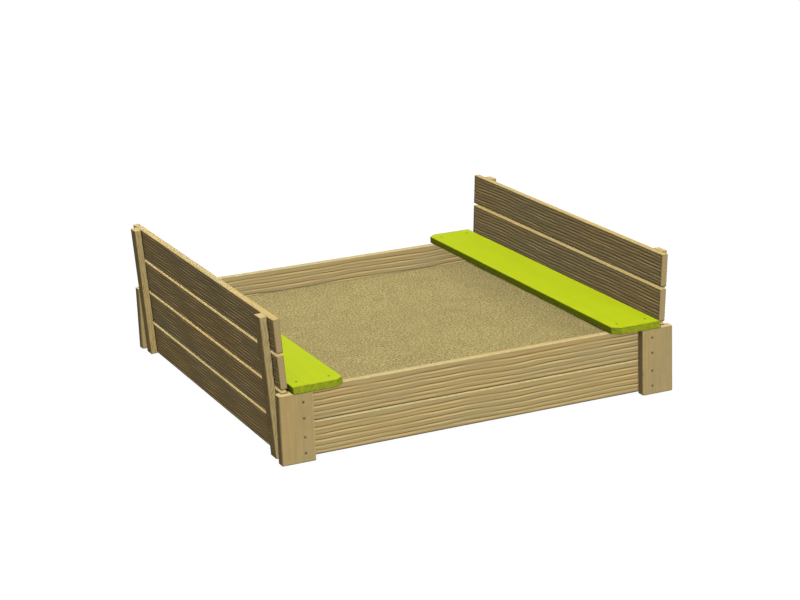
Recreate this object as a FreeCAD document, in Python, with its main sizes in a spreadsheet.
import FreeCAD, Part
import Sketcher
import math
import os

# Square timber sandbox with a two-part cover. The two cover halves stand upright
# outside the seats, their ends held in slanted slots in the corner posts.
# Frame: origin on the ground at the centre, +X to the right along the front wall,
# +Y to the back wall, +Z up. Millimetres.
# The left-hand pieces and the back wall are drawn as their opposites and turned half round.

Vector = FreeCAD.Vector
Rotation = FreeCAD.Rotation
Placement = FreeCAD.Placement

doc = FreeCAD.newDocument("sandbox")


# ------------------------------------------------------------ driving dimensions
# Alias, value, note.
DIMENSIONS = [
    ("half_x", 920.0, "centre to the posts' outer edges"),
    ("half_y", 930.0, "centre to the posts' front and back faces"),
    ("post_wide", 150.0, "corner post, face width"),
    ("post_thick", 48.0, "corner post, thickness"),
    ("post_round", 8.0, "corner post, rounding of the long edges"),
    ("board_wide", 145.0, "wall board and cover slat, width"),
    ("board_thick", 30.0, "wall board and cover slat, thickness"),
    ("board_round", 5.0, "board, rounding of the long edges"),
    ("wall_base", 4.0, "ground to the lower board"),
    ("wall_gap", 3.0, "gap between lower and upper board"),
    ("wall_long", 1690.0, "front and back board, length"),
    ("side_out", 831.0, "centre to the side boards' outer faces"),
    ("seat_out", 858.0, "centre to the seats' outer edges"),
    ("seat_wide", 230.0, "seat, width"),
    ("seat_thick", 30.0, "seat, thickness"),
    ("seat_long", 1864.0, "seat, length"),
    ("seat_clip_x", 36.0, "seat, clipped inner corner across the seat"),
    ("seat_clip_y", 32.0, "seat, clipped inner corner along the seat"),
    ("seat_round", 2.0, "seat, rounding of the top edges"),
    ("sand_top", 188.0, "ground to the sand surface"),
    ("sand_clear", 0.5, "sand to the boards, clearance"),
    ("lean_deg", 3.5, "cover half, outward lean in degrees"),
    ("cover_in", 849.0, "centre to the cover's inner face at its foot"),
    ("cover_base", 4.2, "ground to the cover's inner bottom edge"),
    ("slat_long", 1796.0, "cover slat, length"),
    ("slat_gap", 10.0, "gap between cover slats"),
    ("batten_wide", 62.0, "cover batten, width"),
    ("batten_thick", 32.0, "cover batten, thickness"),
    ("batten_round", 3.0, "cover batten, rounding of the long edges"),
    ("batten_inset", 60.0, "slat end to the batten's outer edge"),
    ("slot_clear", 1.0, "post slot, clearance to each face of the cover"),
    ("slot_deep", 18.0, "post slot, depth"),
    ("big_shank", 6.0, "post screw, shank diameter"),
    ("big_head", 12.0, "post screw, head diameter"),
    ("big_long", 120.0, "post screw, length"),
    ("big_through", 6.4, "post screw, clearance hole"),
    ("big_pilot", 6.1, "post screw, pilot hole in the side board"),
    ("big_sink", 13.2, "post screw, countersink diameter"),
    ("small_shank", 5.0, "seat and batten screw, shank diameter"),
    ("small_head", 10.0, "seat and batten screw, head diameter"),
    ("small_through", 5.4, "seat and batten screw, clearance hole"),
    ("small_pilot", 5.1, "seat and batten screw, pilot hole"),
    ("small_sink", 11.2, "seat and batten screw, countersink diameter"),
    ("seat_screw_long", 60.0, "seat screw, length"),
    ("batten_screw_long", 50.0, "batten screw, length"),
    ("head_sunk", 0.5, "screw head below the timber's surface"),
    ("post_screw_in", 46.0, "post screw, from the post's inner edge"),
    ("post_screw_a", 38.0, "ground to the lower board's lower post screw"),
    ("post_screw_b", 107.0, "ground to the lower board's upper post screw"),
    ("post_screw_c", 188.0, "ground to the upper board's lower post screw"),
    ("post_screw_d", 257.0, "ground to the upper board's upper post screw"),
    ("seat_screw_out", 41.0, "seat screw, from the seat's outer edge"),
    ("seat_screw_in", 183.0, "seat screw, second one from the outer edge"),
    ("slat_screw_low", 35.0, "batten screw, from the slat's lower edge"),
    ("slat_screw_high", 110.0, "batten screw, from the slat's lower edge"),
]


def joined(value, left, sign, right):
    texts = [item.text if isinstance(item, Size) else repr(item) for item in (left, right)]
    return Size(value, "(%s %s %s)" % (texts[0], sign, texts[1]))


class Size(float):
    """A number that carries the sheet expression it comes from, through + - * /."""

    def __new__(cls, value, text):
        size = super().__new__(cls, value)
        size.text = text
        return size

    def __add__(self, other):
        return joined(float.__add__(self, other), self, "+", other)

    def __sub__(self, other):
        return joined(float.__sub__(self, other), self, "-", other)

    def __mul__(self, other):
        return joined(float.__mul__(self, other), self, "*", other)

    def __rmul__(self, other):
        return joined(float.__mul__(self, other), other, "*", self)

    def __truediv__(self, other):
        return joined(float.__truediv__(self, other), self, "/", other)

    def __neg__(self):
        return Size(float.__neg__(self), "(-%s)" % self.text)


class Dims:
    """The sheet's cells as Sizes, one attribute for each alias."""


dims = Dims()
sheet = doc.addObject("Spreadsheet::Sheet", "dims")
sheet.Label = "dims"
for row, (alias, value, note) in enumerate(DIMENSIONS, 1):
    sheet.set("A%d" % row, note)
    sheet.set("B%d" % row, repr(value))
    sheet.setAlias("B%d" % row, alias)
    setattr(dims, alias, Size(value, "dims." + alias))
doc.recompute()

SIDES = (-1, 1)
HALF_TURN = Placement(Vector(0, 0, 0), Rotation(Vector(0, 0, 1), 180))

# Walls: the posts end flush with the upper boards, the side boards fit between the walls.
POST_HIGH = dims.wall_base + 2 * dims.board_wide + dims.wall_gap
WALL_OUT = dims.half_y - dims.post_thick
WALL_MID = WALL_OUT - dims.board_thick / 2
WALL_IN = WALL_OUT - dims.board_thick
SIDE_LONG = 2 * WALL_IN
LOWER_MID = dims.wall_base + dims.board_wide / 2
UPPER_MID = LOWER_MID + dims.board_wide + dims.wall_gap

# Screw places
POST_SCREW_X = dims.half_x - dims.post_wide + dims.post_screw_in
POST_SCREW_Z = [dims.post_screw_a, dims.post_screw_b, dims.post_screw_c, dims.post_screw_d]
SEAT_SCREWS = (dims.seat_screw_out, dims.seat_screw_in)
SEAT_SCREW_X = [dims.seat_out - from_edge for from_edge in SEAT_SCREWS]
SLAT_SCREWS = (dims.slat_screw_low, dims.slat_screw_high)
BIG_PILOT_SPARE = 2.0  # taken off the side boards' pilot depth less the board: see side_board
SMALL_PILOT_SPARE = 1.0  # pilot depth beyond the screw's tip

# Level: centre height of the board, heights of its post screws.
LEVELS = {
    "lower": (LOWER_MID, POST_SCREW_Z[:2]),
    "upper": (UPPER_MID, POST_SCREW_Z[2:]),
}

# Cover
SLATS = 4
SLAT_PITCH = dims.board_wide + dims.slat_gap
COVER_TALL = SLATS * dims.board_wide + (SLATS - 1) * dims.slat_gap
BATTEN_Y = dims.slat_long / 2 - dims.batten_inset - dims.batten_wide / 2
COVER_SCREW_UP = [k * SLAT_PITCH + from_edge for k in range(SLATS) for from_edge in SLAT_SCREWS]
LEAN_TAN = Size(math.tan(math.radians(dims.lean_deg)), "tan(dims.lean_deg)")
LEAN_COS = Size(math.cos(math.radians(dims.lean_deg)), "cos(dims.lean_deg)")

parts = []


# ---------------------------------------------------------------------- sketches
def new_body(name):
    body = doc.addObject("PartDesign::Body", name)
    body.Label = name
    parts.append(body)
    return body


def new_sketch(body, name, role, offset=None):
    """Sketch on an origin plane of the body, or offset along that plane's normal."""
    sketch = body.newObject("Sketcher::SketchObject", name)
    plane = next(item for item in body.Origin.OriginFeatures if item.Role == role)
    sketch.AttachmentSupport = [(plane, "")]
    sketch.MapMode = "FlatFace"
    if offset is not None:
        sketch.AttachmentOffset = Placement(Vector(0, 0, offset), Rotation())
        sketch.setExpression("AttachmentOffset.Base.z", offset.text)
    return sketch


def bind(sketch, kind, elements, size):
    """One dimension of a sketch, tied to the sheet."""
    index = sketch.addConstraint(Sketcher.Constraint(kind, *elements, float(size)))
    sketch.setExpression("Constraints[%d]" % index, size.text)


def locate(sketch, geometry, point, x, y):
    """Ties a point to the origin; distances are positive, so their order gives the sign."""
    for kind, distance, zero_axis in (("DistanceX", x, -2), ("DistanceY", y, -1)):
        if abs(distance) < 1e-9:
            on_axis = Sketcher.Constraint("PointOnObject", geometry, point, zero_axis)
            sketch.addConstraint(on_axis)
        elif distance > 0:
            bind(sketch, kind, (-1, 1, geometry, point), distance)
        else:
            bind(sketch, kind, (geometry, point, -1, 1), -distance)


def polygon(sketch, points):
    """Closed outline through (x, y) points."""
    count = len(points)
    for i in range(count):
        start = Vector(*points[i], 0)
        end = Vector(*points[(i + 1) % count], 0)
        sketch.addGeometry(Part.LineSegment(start, end), False)
    for i in range(count):
        sketch.addConstraint(Sketcher.Constraint("Coincident", i, 2, (i + 1) % count, 1))
    for i, (x, y) in enumerate(points):
        locate(sketch, i, 1, x, y)


def circles(sketch, points, diameter):
    """Equal circles centred on (x, y) points."""
    radius = diameter / 2
    for i, (x, y) in enumerate(points):
        sketch.addGeometry(Part.Circle(Vector(x, y, 0), Vector(0, 0, 1), radius), False)
        bind(sketch, "Radius", (i,), radius)
        locate(sketch, i, 3, x, y)


# ---------------------------------------------------------------------- features
def pad(body, sketch, length, symmetric=False):
    feature = body.newObject("PartDesign::Pad", sketch.Name + "_pad")
    feature.Profile = sketch
    feature.setExpression("Length", length.text)
    if symmetric:
        # releases without SideType have Midplane instead
        if "SideType" in feature.PropertiesList:
            feature.SideType = "Symmetric"
        else:
            feature.Midplane = True
    doc.recompute()


def finish_cut(body, feature, reverse):
    """Sets the direction of a cut and makes sure that it removes material."""
    before = feature.BaseFeature.Shape.Volume
    feature.Reversed = reverse
    doc.recompute()
    if not body.Shape.Volume < before - 1.0:
        raise RuntimeError("nothing is cut by " + feature.Name)


def pocket(body, sketch, depth=None, reverse=False):
    """Pocket of a given depth, or right through."""
    feature = body.newObject("PartDesign::Pocket", sketch.Name + "_pocket")
    feature.Profile = sketch
    if depth is None:
        feature.Type = "ThroughAll"
    else:
        feature.Type = "Length"
        feature.setExpression("Length", depth.text)
    finish_cut(body, feature, reverse)


def sunk_hole(body, sketch, diameter, sink, reverse=False):
    """Clearance hole right through, with a 90 degree countersink at the sketch."""
    feature = body.newObject("PartDesign::Hole", sketch.Name + "_hole")
    feature.Profile = sketch
    doc.recompute()
    feature.Threaded = False
    feature.DepthType = "ThroughAll"
    feature.setExpression("Diameter", diameter.text)
    feature.HoleCutType = "Countersink"
    feature.HoleCutCustomValues = True
    feature.setExpression("HoleCutDiameter", sink.text)
    feature.HoleCutCountersinkAngle = 90.0
    finish_cut(body, feature, reverse)


def round_edges(body, radius, chosen):
    """Fillet on the edges of the body that the test picks."""
    base = body.Tip
    names = ["Edge%d" % i for i, edge in enumerate(base.Shape.Edges, 1) if chosen(edge)]
    feature = body.newObject("PartDesign::Fillet", body.Name + "_fillet")
    feature.Base = (base, names)
    feature.setExpression("Radius", radius.text)
    doc.recompute()


def runs_along(axis):
    """Test for straight edges parallel to an axis."""
    def test(edge):
        direction = edge.Vertexes[1].Point - edge.Vertexes[0].Point
        direction.normalize()
        return abs(abs(direction.dot(axis)) - 1) < 1e-6
    return test


# -------------------------------------------------------------------- placements
def axes(x_to, y_to, z_to):
    """Rotation that sends local X, Y and Z to three directions."""
    return Rotation(Vector(*x_to), Vector(*y_to), Vector(*z_to), "ZXY")


def turned(placement, turn):
    return HALF_TURN * placement if turn else placement


# ------------------------------------------------------------------------ pieces
def board(name, length, placement, wide=dims.board_wide, thick=dims.board_thick,
          rounding=dims.board_round):
    """Planed board, centred on X and Y: length on X, width on Y, outer face at Z = 0."""
    body = new_body(name)
    sketch = new_sketch(body, name + "_section", "YZ_Plane")
    edge = wide / 2
    polygon(sketch, [(-edge, -thick), (edge, -thick), (edge, 0), (-edge, 0)])
    pad(body, sketch, length, symmetric=True)
    round_edges(body, rounding, runs_along(Vector(1, 0, 0)))
    body.Placement = placement
    return body


def wall_board(wall, level):
    """Front or back board."""
    name = "%s_board_%s" % (wall, level)
    middle, heights = LEVELS[level]
    where = Placement(Vector(0, -WALL_OUT, middle), axes((1, 0, 0), (0, 0, 1), (0, -1, 0)))
    body = board(name, dims.wall_long, turned(where, wall == "back"))
    sketch = new_sketch(body, name + "_bolts", "XY_Plane")
    points = [(side * POST_SCREW_X, z - middle) for side in SIDES for z in heights]
    circles(sketch, points, dims.big_through)
    pocket(body, sketch)
    if level == "upper":
        # pilot holes for the seat screws, down into the top edge
        sketch = new_sketch(body, name + "_seat_pilots", "XZ_Plane", -dims.board_wide / 2)
        points = [(side * x, -dims.board_thick / 2) for side in SIDES for x in SEAT_SCREW_X]
        circles(sketch, points, dims.small_pilot)
        depth = dims.seat_screw_long - dims.seat_thick + SMALL_PILOT_SPARE
        pocket(body, sketch, depth, reverse=True)


def side_board(side, level):
    """Left or right board, with pilot holes for the post screws in both ends."""
    name = "%s_side_board_%s" % (side, level)
    middle, heights = LEVELS[level]
    where = Placement(Vector(dims.side_out, 0, middle), axes((0, 1, 0), (0, 0, 1), (1, 0, 0)))
    body = board(name, SIDE_LONG, turned(where, side == "left"))
    depth = (dims.big_long + dims.head_sunk - dims.post_thick - dims.board_thick
             + BIG_PILOT_SPARE)
    points = [(z - middle, POST_SCREW_X - dims.side_out) for z in heights]
    for end, suffix in ((1, "_end_b"), (-1, "_end_a")):
        sketch = new_sketch(body, name + suffix, "YZ_Plane", end * SIDE_LONG / 2)
        circles(sketch, points, dims.big_pilot)
        pocket(body, sketch, depth, reverse=end < 0)


def post(wall, side):
    """Corner post: inner edge at X = 0, inner face at Y = 0, foot at Z = 0."""
    name = "post_%s_%s" % (wall, side)
    left = side == "left"
    # local Y direction of the outer face, before left-hand posts are turned
    outward = 1 if (wall == "back") != left else -1
    body = new_body(name)
    wide = dims.post_wide
    outer = outward * dims.post_thick
    sketch = new_sketch(body, name + "_section", "XY_Plane")
    polygon(sketch, [(0, 0), (wide, 0), (wide, outer), (0, outer)])
    pad(body, sketch, POST_HIGH)
    round_edges(body, dims.post_round, runs_along(Vector(0, 0, 1)))

    # slanted slot for the end of a cover half, open at the foot and at the top
    slot_wide = (dims.board_thick + 2 * dims.slot_clear) / LEAN_COS
    foot = (dims.cover_in - dims.cover_base * LEAN_TAN - dims.slot_clear / LEAN_COS
            - dims.half_x + wide)
    head = foot + POST_HIGH * LEAN_TAN
    sketch = new_sketch(body, name + "_slot", "XZ_Plane")
    polygon(sketch, [(foot, 0), (foot + slot_wide, 0),
                     (head + slot_wide, POST_HIGH), (head, POST_HIGH)])
    pocket(body, sketch, dims.slot_deep, reverse=outward < 0)

    # screw holes, countersunk in the outer face; the XZ plane's normal is -Y
    sketch = new_sketch(body, name + "_bolts", "XZ_Plane", -outer)
    circles(sketch, [(dims.post_screw_in, z) for z in POST_SCREW_Z], dims.big_through)
    sunk_hole(body, sketch, dims.big_through, dims.big_sink, reverse=outward > 0)
    where = Placement(Vector(dims.half_x - wide, outward * WALL_OUT, 0), Rotation())
    body.Placement = turned(where, left)


def seat(side):
    """Seat board: outer edge at X = 0, inner edge at X = -width, underside at Z = 0."""
    name = "seat_" + side
    body = new_body(name)
    inner = -dims.seat_wide
    end = dims.seat_long / 2
    clip_x = inner + dims.seat_clip_x
    clip_y = end - dims.seat_clip_y
    top = dims.seat_thick
    sketch = new_sketch(body, name + "_outline", "XY_Plane")
    polygon(sketch, [(0, -end), (0, end), (clip_x, end),
                     (inner, clip_y), (inner, -clip_y), (clip_x, -end)])
    pad(body, sketch, top)
    round_edges(body, dims.seat_round,
                lambda edge: all(abs(v.Point.z - top) < 1e-6 for v in edge.Vertexes))
    sketch = new_sketch(body, name + "_bolts", "XY_Plane", top)
    points = [(-from_edge, way * WALL_MID) for way in SIDES for from_edge in SEAT_SCREWS]
    circles(sketch, points, dims.small_through)
    sunk_hole(body, sketch, dims.small_through, dims.small_sink)
    where = Placement(Vector(dims.seat_out, 0, POST_HIGH), Rotation())
    body.Placement = turned(where, side == "left")


def sand():
    body = new_body("sand_fill")
    x = dims.side_out - dims.board_thick - dims.sand_clear
    y = WALL_IN - dims.sand_clear
    sketch = new_sketch(body, "sand_outline", "XY_Plane")
    polygon(sketch, [(-x, -y), (x, -y), (x, y), (-x, y)])
    pad(body, sketch, dims.sand_top)


def cover_frame(side):
    """Frame of a cover half: X out through its thickness, Y along it, Z up its slope."""
    lean = Rotation(Vector(0, 1, 0), dims.lean_deg)
    where = Placement(Vector(dims.cover_in, 0, dims.cover_base), lean)
    return turned(where, side == "left")


def cover_slat(side, k):
    """Slat k of a cover half, counted from 0 at the ground, with pilot holes."""
    name = "cover_%s_slat_%d" % (side, k + 1)
    middle = k * SLAT_PITCH + dims.board_wide / 2
    where = Placement(Vector(dims.board_thick, 0, middle), axes((0, 1, 0), (0, 0, 1), (1, 0, 0)))
    body = board(name, dims.slat_long, cover_frame(side) * where)
    sketch = new_sketch(body, name + "_pilots", "XY_Plane")
    points = [(end * BATTEN_Y, from_edge - dims.board_wide / 2)
              for end in SIDES for from_edge in SLAT_SCREWS]
    circles(sketch, points, dims.small_pilot)
    depth = (dims.batten_screw_long + dims.head_sunk - dims.batten_thick
             + SMALL_PILOT_SPARE)
    pocket(body, sketch, depth)


def cover_batten(side, end):
    """Batten up the slope, on the outer faces of the slats; end is its sign on the frame's Y."""
    # the left half is turned half round, so its ends swap names
    word = "back" if (end > 0) == (side == "right") else "front"
    name = "cover_%s_batten_%s" % (side, word)
    outer = dims.board_thick + dims.batten_thick
    where = Placement(Vector(outer, end * BATTEN_Y, COVER_TALL / 2),
                      axes((0, 0, 1), (0, -1, 0), (1, 0, 0)))
    body = board(name, COVER_TALL, cover_frame(side) * where, wide=dims.batten_wide,
                 thick=dims.batten_thick, rounding=dims.batten_round)
    sketch = new_sketch(body, name + "_bolts", "XY_Plane")
    circles(sketch, [(up - COVER_TALL / 2, 0) for up in COVER_SCREW_UP], dims.small_through)
    sunk_hole(body, sketch, dims.small_through, dims.small_sink)


# ------------------------------------------------------------------------ screws
TIP_RADIUS = 0.4  # blunt end of the screw's point
SOCKET_RADIUS = 0.45  # socket's corner radius, part of the shank diameter
SOCKET_DEEP = 0.4  # socket's depth, part of the shank diameter


def solid(kind, name, bottom, **sizes):
    """Part primitive standing at Z = bottom, its sizes tied to the sheet."""
    item = doc.addObject("Part::" + kind, name)
    for key, size in sizes.items():
        item.setExpression(key, size.text)
    item.Placement = Placement(Vector(0, 0, bottom), Rotation())
    return item


def screw(name, shank, head, length):
    """Countersunk screw: head's top at Z = 0, shank along -Z, six-sided socket in the head."""
    radius = shank / 2
    cone_high = (head - shank) / 2
    tip_high = shank
    socket_high = shank * SOCKET_DEEP
    cap = solid("Cone", name + "_head", -cone_high,
                Radius1=radius, Radius2=head / 2, Height=cone_high)
    rod = solid("Cylinder", name + "_shank", tip_high - length,
                Radius=radius, Height=length - cone_high - tip_high)
    tip = solid("Cone", name + "_tip", -length, Radius2=radius, Height=tip_high)
    tip.Radius1 = TIP_RADIUS
    blank = doc.addObject("Part::MultiFuse", name + "_blank")
    blank.Shapes = [cap, rod, tip]
    socket = solid("Prism", name + "_socket", -socket_high,
                   Circumradius=shank * SOCKET_RADIUS, Height=socket_high)
    socket.Polygon = 6
    cut = doc.addObject("Part::Cut", name)
    cut.Base = blank
    cut.Tool = socket
    doc.recompute()
    return cut


def screw_group(name, master, places):
    """Compound of links to one screw."""
    links = []
    for i, place in enumerate(places, 1):
        link = doc.addObject("App::Link", "%s_%d" % (name, i))
        link.LinkedObject = master
        link.LinkTransform = False
        link.Placement = place
        links.append(link)
    group = doc.addObject("Part::Compound", name)
    group.Label = name
    group.Links = links
    doc.recompute()
    parts.append(group)


def post_screws(wall, master):
    """Along Y, from the posts' outer faces into the side boards' ends."""
    way = 1 if wall == "back" else -1
    turn = Rotation(Vector(0, 0, 1), Vector(0, way, 0))
    y = way * (dims.half_y - dims.head_sunk)
    places = [Placement(Vector(side * POST_SCREW_X, y, z), turn)
              for side in SIDES for z in POST_SCREW_Z]
    screw_group("screws_posts_" + wall, master, places)


def seat_screws(side, master):
    """Down through a seat into the front and back boards."""
    way = -1 if side == "left" else 1
    z = POST_HIGH + dims.seat_thick - dims.head_sunk
    places = [Placement(Vector(way * x, end * WALL_MID, z), Rotation())
              for end in SIDES for x in SEAT_SCREW_X]
    screw_group("screws_seat_" + side, master, places)


def cover_screws(side, master):
    """Inward through the battens into the slats."""
    frame = cover_frame(side)
    turn = Rotation(Vector(0, 0, 1), Vector(1, 0, 0))
    out = dims.board_thick + dims.batten_thick - dims.head_sunk
    places = [frame * Placement(Vector(out, end * BATTEN_Y, up), turn)
              for end in SIDES for up in COVER_SCREW_UP]
    screw_group("screws_cover_" + side, master, places)


# ---------------------------------------------------------------------- assembly
for wall in ("front", "back"):
    for side in ("left", "right"):
        post(wall, side)
    for level in LEVELS:
        wall_board(wall, level)
for side in ("left", "right"):
    for level in LEVELS:
        side_board(side, level)
    seat(side)
    for k in range(SLATS):
        cover_slat(side, k)
    for end in SIDES:
        cover_batten(side, end)
sand()

post_screw = screw("post_screw", dims.big_shank, dims.big_head, dims.big_long)
seat_screw = screw("seat_screw", dims.small_shank, dims.small_head, dims.seat_screw_long)
batten_screw = screw("batten_screw", dims.small_shank, dims.small_head, dims.batten_screw_long)
for wall in ("front", "back"):
    post_screws(wall, post_screw)
for side in ("left", "right"):
    seat_screws(side, seat_screw)
    cover_screws(side, batten_screw)

# -------------------------------------------------------------- checks and files
doc.recompute()
faults = []
for item in doc.Objects:
    if "Invalid" in item.State or "Error" in item.State:
        faults.append("%s is in state %s" % (item.Name, item.State))
for part in parts:
    shape = part.Shape
    if shape.isNull() or not shape.isValid() or not shape.Solids:
        faults.append("%s has no valid solid" % part.Label)
if faults:
    raise SystemExit("\n".join(faults))

os.makedirs("parts", exist_ok=True)
for old in os.listdir("parts"):
    if old.endswith(".step"):
        os.remove(os.path.join("parts", old))
for part in parts:
    solids = part.Shape.Solids
    shape = solids[0] if len(solids) == 1 else Part.makeCompound(solids)
    shape.exportStep("parts/%s.step" % part.Label)
